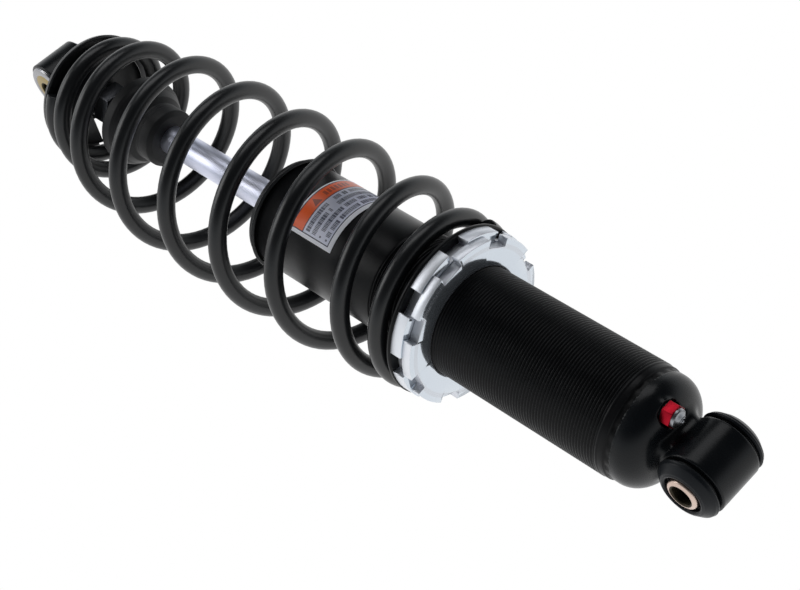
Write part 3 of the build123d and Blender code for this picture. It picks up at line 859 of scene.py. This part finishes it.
def makeEyeFittings():
    f = bush
    lipStart = f["seat"] + f["gap"]
    lipEnd = lipStart + f["rim"]
    floor = f["faceEnd"] - f["recessDepth"]
    root = [(f["middle"], f["body"]), (f["seat"], f["body"])]
    rubber = [(f["middle"], f["inner"])] + root + [
        (f["seat"], f["neck"]), (lipStart, f["neck"], 0.3), (lipStart, f["lip"], 0.45), (lipEnd, f["lip"], 0.9),
        (f["faceEnd"], f["face"], 0.8), (f["faceEnd"], f["recess"], 0.4), (floor, f["recess"] - 0.3, 0.3),
        (floor, f["inner"])]
    end = f["seat"] + steelBush["thick"]
    steel = [(f["middle"], steelBush["inner"])] + root + [
        (f["seat"], steelBush["flange"], 0.2), (end, steelBush["flange"], 0.4), (end, steelBush["inner"], 0.2)]
    for side, sign in (("left", 1), ("right", -1)):
        makeBush("lowerBush" + side.title(), [(sign * p[0], *p[1:]) for p in rubber], 0.0,
                 "cylinder", "bushBlack", "bush_black", "lower_bush_" + side)
        makeBush("upperBush" + side.title(), [(sign * p[0], *p[1:]) for p in steel], upperEye["station"],
                 "rod", "zincSteel", "zinc_steel", "upper_bush_" + side)
    makeSleeve("lowerSleeve", sleeve, 0.0, "lower_sleeve", "sleeveBronze")
    makeSleeve("upperSleeve", upperSleeve, upperEye["station"], "upper_sleeve", "plainBronze")


makeEyeFittings()
print("eye fittings")


# Gas valve in the end cap

valve = {
    "height": 18.2, "seat": 20.0, "length": 4.8, "flats": 9.2, "bevel": 0.6, "screw": 3.4, "hole": 1.2,
    "tip": 2.35, "shoulder": 1.8, "holeFloor": 0.9,
}


def hexNut(name, start, length, flats, bore, height, material, bevel):
    # a hexagon with a bore along X, its edges rounded
    around = 48

    def ring(station, radius, count):
        spokes = [2 * math.pi * k / count for k in range(count)]
        return [shape.verts.new((station * mm, radius * math.cos(a) * mm, (height + radius * math.sin(a)) * mm))
                for a in spokes]

    shape = bmesh.new()
    outer = [ring(station, flats / 2 / math.cos(math.pi / 6), 6) for station in (start, start + length)]
    inner = [ring(station, bore, around) for station in (start, start + length)]
    for near, far in (outer, inner):
        for k in range(len(near)):
            n = (k + 1) % len(near)
            shape.faces.new([near[k], near[n], far[n], far[k]])
    for rims in zip(outer, inner):
        loops = [e for e in shape.edges if all(v in rims[0] or v in rims[1] for v in e.verts)]
        bmesh.ops.bridge_loops(shape, edges=loops)
    bmesh.ops.recalc_face_normals(shape, faces=shape.faces)
    mesh = bpy.data.meshes.new(name)
    shape.to_mesh(mesh)
    shape.free()
    mesh.materials.append(material)
    thing = bpy.data.objects.new(name, mesh)
    scene.collection.objects.link(thing)
    return smoothed(bevelled(thing, bevel, 40, 3), 35)


def makeValve():
    f = valve
    base = f["seat"] - f["length"]
    body = hexNut("gasValveBody", base, f["length"], f["flats"], f["hole"], f["height"],
                  finishes["anodisedRed"], f["bevel"])
    fitted(body, "cylinder", "valve_red", "gas_valve_body")
    r, hole, tip, floor = f["screw"], f["hole"], base - f["tip"], base - f["holeFloor"]
    outline = [(base, 0.0), (base, r, 0.15), (base - 0.9, r, 0.3), (base - f["shoulder"], r * 0.8, 0.8),
               (tip, hole + 0.5, 0.4), (tip, hole, 0.15), (floor, hole, 0.1), (floor, 0.0)]
    screw = turned("gasValveScrew", outline, finishes["brightSteel"], segments=72, closed=False)
    screw.data.transform(Matrix.Translation((0, 0, f["height"] * mm)))
    fitted(screw, "cylinder", "valve_steel", "gas_valve_screw")


makeValve()
print("gas valve")


# Preload rings and the spring seat

rings = {
    "notches": 8, "notchAngle": 16.2, "notchDepth": 4.2, "bore": 26.05, "chamfer": 0.8, "bevel": 0.22,
    "past": 4.0,  # how far the cutters reach past the ring
    "lockRing": {"face": 124.8, "thick": 4.6, "radius": 39.2, "tooth": 13.8, "node": "lock_ring"},
    "adjusterRing": {"face": 129.6, "thick": 6.0, "radius": 39.9, "tooth": 28.9, "node": "adjuster_ring"},
}
seat = {"face": 135.8, "radius": 40.1, "top": 137.2, "pilot": 32.6, "pilotEnd": 142.0, "bore": 26.25}
retainer = {"face": 388.55, "thick": 3.0, "radius": 31.5, "pilot": 25.2, "pilotStart": 382.5, "bore": 9.55}


def cutterRecipe(count, size, station, reach, turn, material):
    # takes a ring of blocks out of a turned piece
    recipe = Recipe("NotchCutter", Count=count, Turn=math.radians(turn), Reach=reach * mm, Station=station * mm,
                    Long=size[0] * mm, Wide=size[1] * mm, Deep=size[2] * mm)
    take = recipe.input
    cube = recipe.node("GeometryNodeMeshCube", None, {"Size": recipe.join(take("Long"), take("Deep"), take("Wide"))})
    spots = recipe.node("GeometryNodePoints", None, {"Count": take("Count")})
    number = recipe.node("GeometryNodeInputIndex")
    angle = number / take("Count") * (2 * math.pi) + take("Turn")
    y, z = recipe.math("COSINE", angle) * take("Reach"), recipe.math("SINE", angle) * take("Reach")
    sockets = {"Geometry": spots, "Position": recipe.join(take("Station"), y, z)}
    spots = recipe.node("GeometryNodeSetPosition", None, sockets)
    sockets = {"Points": spots, "Instance": cube, "Rotation": recipe.join(angle, 0.0, 0.0)}
    blocks = recipe.node("GeometryNodeInstanceOnPoints", None, sockets)
    blocks = recipe.node("GeometryNodeRealizeInstances", None, {0: blocks})
    cut = recipe.node("GeometryNodeMeshBoolean", {"operation": "DIFFERENCE", "solver": "EXACT"},
                      {"Mesh 1": take("Geometry"), "Mesh 2": blocks})
    recipe.close(cut, material)
    return recipe


def crisp(thing, width):
    # merged, with small bevels on its sharp edges and its faces shaded flat
    shape = bmesh.new()
    shape.from_mesh(thing.data)
    bmesh.ops.remove_doubles(shape, verts=shape.verts, dist=0.02 * mm)
    bmesh.ops.dissolve_degenerate(shape, edges=shape.edges, dist=0.01 * mm)
    shape.to_mesh(thing.data)
    shape.free()
    return smoothed(bevelled(thing, width, 40, 2, harden=True), 35)


def makeRing(name):
    f = rings[name]
    end, bore, chamfer = f["face"] + f["thick"], rings["bore"], rings["chamfer"]
    outline = [(f["face"], bore + chamfer), (f["face"], f["radius"]), (end, f["radius"]), (end, bore + chamfer),
               (end - chamfer, bore), (f["face"] + chamfer, bore)]
    ring = turned(name, outline, finishes["ringAluminium"], segments=160)
    wide = 2 * f["radius"] * math.sin(math.radians(rings["notchAngle"] / 2))
    depth, past = rings["notchDepth"], rings["past"]
    turn = f["tooth"] + 180 / rings["notches"]
    cutter = cutterRecipe(rings["notches"], (f["thick"] + past, wide, depth + past), f["face"] + f["thick"] / 2,
                          f["radius"] - depth / 2 + past / 2, turn, finishes["ringAluminium"])
    return fitted(crisp(cutter.run(ring), rings["bevel"]), f["node"], "ring_aluminium", f["node"])


makeRing("lockRing")
makeRing("adjusterRing")


def makeSeat():
    f = seat
    outline = [(f["face"], f["bore"], 0.3), (f["face"], f["radius"], 0.5), (f["top"], f["radius"], 0.6),
               (f["top"], f["pilot"], 0.5), (f["pilotEnd"], f["pilot"], 1.0), (f["pilotEnd"], f["bore"], 0.3)]
    ring = turned("springSeat", outline, finishes["threadBlack"], segments=144)
    fitted(ring, "spring_seat", "seat_black", "spring_seat")


makeSeat()


def makeRetainer():
    f = retainer
    end = f["face"] + f["thick"]
    outline = [(f["pilotStart"], f["bore"]), (f["pilotStart"], f["pilot"], 1.0), (f["face"], f["pilot"], 0.6),
               (f["face"], f["radius"], 0.5), (end, f["radius"], 1.1), (end, f["bore"])]
    flange = turned("springRetainer", outline, finishes["powderBlack"], segments=144)
    long, deep = end - f["pilotStart"] + 4, f["radius"] + 2
    cutter = cutterRecipe(1, (long, 2 * f["bore"], deep), (end + f["pilotStart"]) / 2, deep / 2, -90.0,
                          finishes["powderBlack"])
    flange = cutter.run(flange)
    flange.data.set_sharp_from_angle(angle=math.radians(32))
    return fitted(flange, "spring_retainer", "retainer_black", "spring_retainer")


makeRetainer()
print("rings, seat and retainer")


# Rod, cup, bump stop and the nuts behind it

rod = {"radius": 7.0, "stud": 4.0, "studEnd": 182.0, "shoulder": 204.5, "end": 396.0}
cup = {"start": 236.5, "end": 243.5, "radius": 27.4, "bore": 26.02, "wallStart": 240.4, "hole": 9.4}
bump = {
    "start": 327.8, "bore": 7.02,
    # distance from the start, radius, rounding
    "steps": [(0.0, 12.6, 0.8), (1.4, 14.9, 1.0), (7.4, 15.6, 1.6), (9.2, 14.3, 1.4), (11.4, 14.3, 1.6),
              (13.2, 17.6, 1.2), (18.0, 19.4, 1.6), (19.8, 21.8, 1.4), (21.8, 22.5, 1.2), (27.2, 22.8, 1.0)],
}
washer = {"start": 355.1, "end": 358.1, "radius": 18.0, "round": 0.4}
spacer = {"start": 358.2, "end": 366.9, "radius": 10.5, "round": 0.6}
jamNut = {"start": 367.0, "length": 9.0, "flats": 21.0, "bevel": 0.7}


def makeCollar(name, f, node):
    outline = [(f["start"], bump["bore"]), (f["start"], f["radius"], f["round"])]
    outline += [(f["end"], f["radius"], f["round"]), (f["end"], bump["bore"])]
    fitted(turned(name, outline, finishes["powderBlack"], segments=96), "rod", "seat_black", node)


def makeRodPieces():
    f = rod
    outline = [(f["studEnd"], 0.0), (f["studEnd"], f["stud"], 0.5), (f["shoulder"], f["stud"], 0.2),
               (f["shoulder"], f["radius"], 0.6), (f["end"], f["radius"], 1.0), (f["end"], 0.0)]
    bar = turned("pistonRod", outline, finishes["rodChrome"], segments=112, closed=False)
    fitted(bar, "rod", "rod_chrome", "piston_rod")
    f = cup
    outline = [(f["start"], f["bore"]), (f["start"], f["radius"], 0.35), (f["end"], f["radius"], 4.5),
               (f["end"], f["hole"], 0.8), (f["wallStart"], f["hole"], 0.4), (f["wallStart"], f["bore"])]
    end = turned("rodEndCup", outline, finishes["cupSatin"], segments=144)
    fitted(end, "cylinder", "cup_black", "rod_end_cup")
    f = bump
    steps = [(0.0, f["bore"])] + f["steps"] + [(f["steps"][-1][0], f["bore"])]
    outline = [(f["start"] + p[0], *p[1:]) for p in steps]
    fitted(turned("bumpStop", outline, finishes["bumpRubber"], segments=128), "rod", "bump_rubber", "bump_stop")
    makeCollar("bumpWasher", washer, "bump_washer")
    makeCollar("rodSpacer", spacer, "rod_spacer")
    f = jamNut
    nut = hexNut("jamNut", f["start"], f["length"], f["flats"], bump["bore"], 0.0, finishes["darkSteel"], f["bevel"])
    fitted(nut, "rod", "dark_steel", "jam_nut")


makeRodPieces()
print("rod and what is on it")


# Label on the tube

def makeLabel():
    f = labelPrint
    around, inner = 72, f["radius"] - 0.14  # the film is 0.14 thick
    points, faces = [], []
    for x in (f["near"], f["far"]):
        for r in (inner, f["radius"]):
            for k in range(around + 1):
                angle = math.radians(f["from"] + f["sweep"] * k / around)
                points.append((x, r * math.cos(angle), r * math.sin(angle)))
    row = around + 1
    for k in range(around):
        for a, b in ((0, 1), (1, 3), (3, 2), (2, 0)):
            faces.append((a * row + k, a * row + k + 1, b * row + k + 1, b * row + k))
    for k in (0, around):
        faces.append((k, row + k, 3 * row + k, 2 * row + k))
    film = placed("printedLabel", points, faces, finishes["labelFilm"])
    return fitted(film, "cylinder", "label_film", "body_label")


makeLabel()
print("label")


# Finishes on the CAD pieces that keep their own shape

keptNodes = {
    "sealRubber": ["end_cap_seal", "rod_guide_seal", "rod_seal", "rod_wiper", "floating_piston_seal",
                   "gas_valve_washer", "top_out_bumper"],
    "machinedAluminium": ["rod_guide", "piston", "floating_piston"],
    "plainBronze": ["rod_guide_bush"],
    "zincSteel": ["snap_ring", "compression_shims", "rebound_shims", "piston_nut"],
    "bandPlastic": ["piston_band"],
}
for name, nodes in keptNodes.items():
    for node in nodes:
        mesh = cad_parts[node].data
        mesh.materials.clear()
        mesh.materials.append(finishes[name])
print("kept CAD pieces:", sum(len(nodes) for nodes in keptNodes.values()))


# Floor, light and camera

studio = {
    "floorSize": 12.0, "floorGlow": 1.0, "gap": 0.0005,
    "worldLow": 0.95, "worldHigh": 0.05, "sky": (0.93, 0.97, 1.0),
}
camera = {
    "location": (-0.25204, 0.29668, 0.54863), "right": (-0.70959, -0.68229, -0.17597),
    "up": (0.43381, -0.61983, 0.65393), "lens": 76.65, "sensor": 36.0,
}


def makeStudio():
    low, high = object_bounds()
    half = studio["floorSize"] / 2
    mesh = bpy.data.meshes.new("floor")
    z = low.z - studio["gap"]
    mesh.from_pydata([(-half, -half, z), (half, -half, z), (half, half, z), (-half, half, z)], [], [(0, 1, 2, 3)])
    paper = bpy.data.materials.new("whitePaper")
    paper.use_nodes = True
    shader = paper.node_tree.nodes["Principled BSDF"]
    shader.inputs["Base Color"].default_value = (0.0, 0.0, 0.0, 1)
    shader.inputs["Specular IOR Level"].default_value = 0.0
    shader.inputs["Emission Color"].default_value = (1, 1, 1, 1)
    shader.inputs["Emission Strength"].default_value = studio["floorGlow"]
    mesh.materials.append(paper)
    floor = bpy.data.objects.new("floor", mesh)
    scene.collection.objects.link(floor)
    world = bpy.data.worlds.new("softRoom")
    scene.world = world
    world.use_nodes = True
    tree = Tree(world.node_tree)
    x, y, z = tree.split(tree.node("ShaderNodeTexCoord", out="Generated"))
    share = tree.ease(z, 0.05, 0.55)
    strength = share * (studio["worldHigh"] - studio["worldLow"]) + studio["worldLow"]
    tree.plug(world.node_tree.nodes["Background"].inputs["Strength"], strength)
    world.node_tree.nodes["Background"].inputs["Color"].default_value = rgba(studio["sky"])


def softbox(name, place, target, size, power, colour=(1, 1, 1)):
    light = bpy.data.lights.new(name, "AREA")
    light.shape = "RECTANGLE"
    light.size, light.size_y = size
    light.energy = power
    light.color = colour
    lamp = bpy.data.objects.new(name, light)
    lamp.location = place
    lamp.rotation_euler = (Vector(target) - Vector(place)).to_track_quat("-Z", "Y").to_euler()
    scene.collection.objects.link(lamp)


def makeCamera():
    right = Vector(camera["right"]).normalized()
    up = Vector(camera["up"])
    up = (up - right * up.dot(right)).normalized()
    back = right.cross(up)
    seen = bpy.data.cameras.new("viewer")
    seen.lens = camera["lens"]
    seen.sensor_width = camera["sensor"]
    eyePoint = bpy.data.objects.new("viewer", seen)
    turn = Matrix((right, up, back)).transposed().to_4x4()
    eyePoint.matrix_world = Matrix.Translation(camera["location"]) @ turn
    scene.collection.objects.link(eyePoint)
    scene.camera = eyePoint


makeStudio()
softbox("topBox", (0.55, -0.35, 0.9), (0.2, 0, 0), (0.9, 0.5), 2.5, (0.97, 0.98, 1.0))
softbox("farBox", (1.1, 0.5, 0.55), (0.25, 0, 0), (0.6, 0.6), 3.0)
makeCamera()
scene.view_settings.view_transform = "Standard"

print("studio and camera")
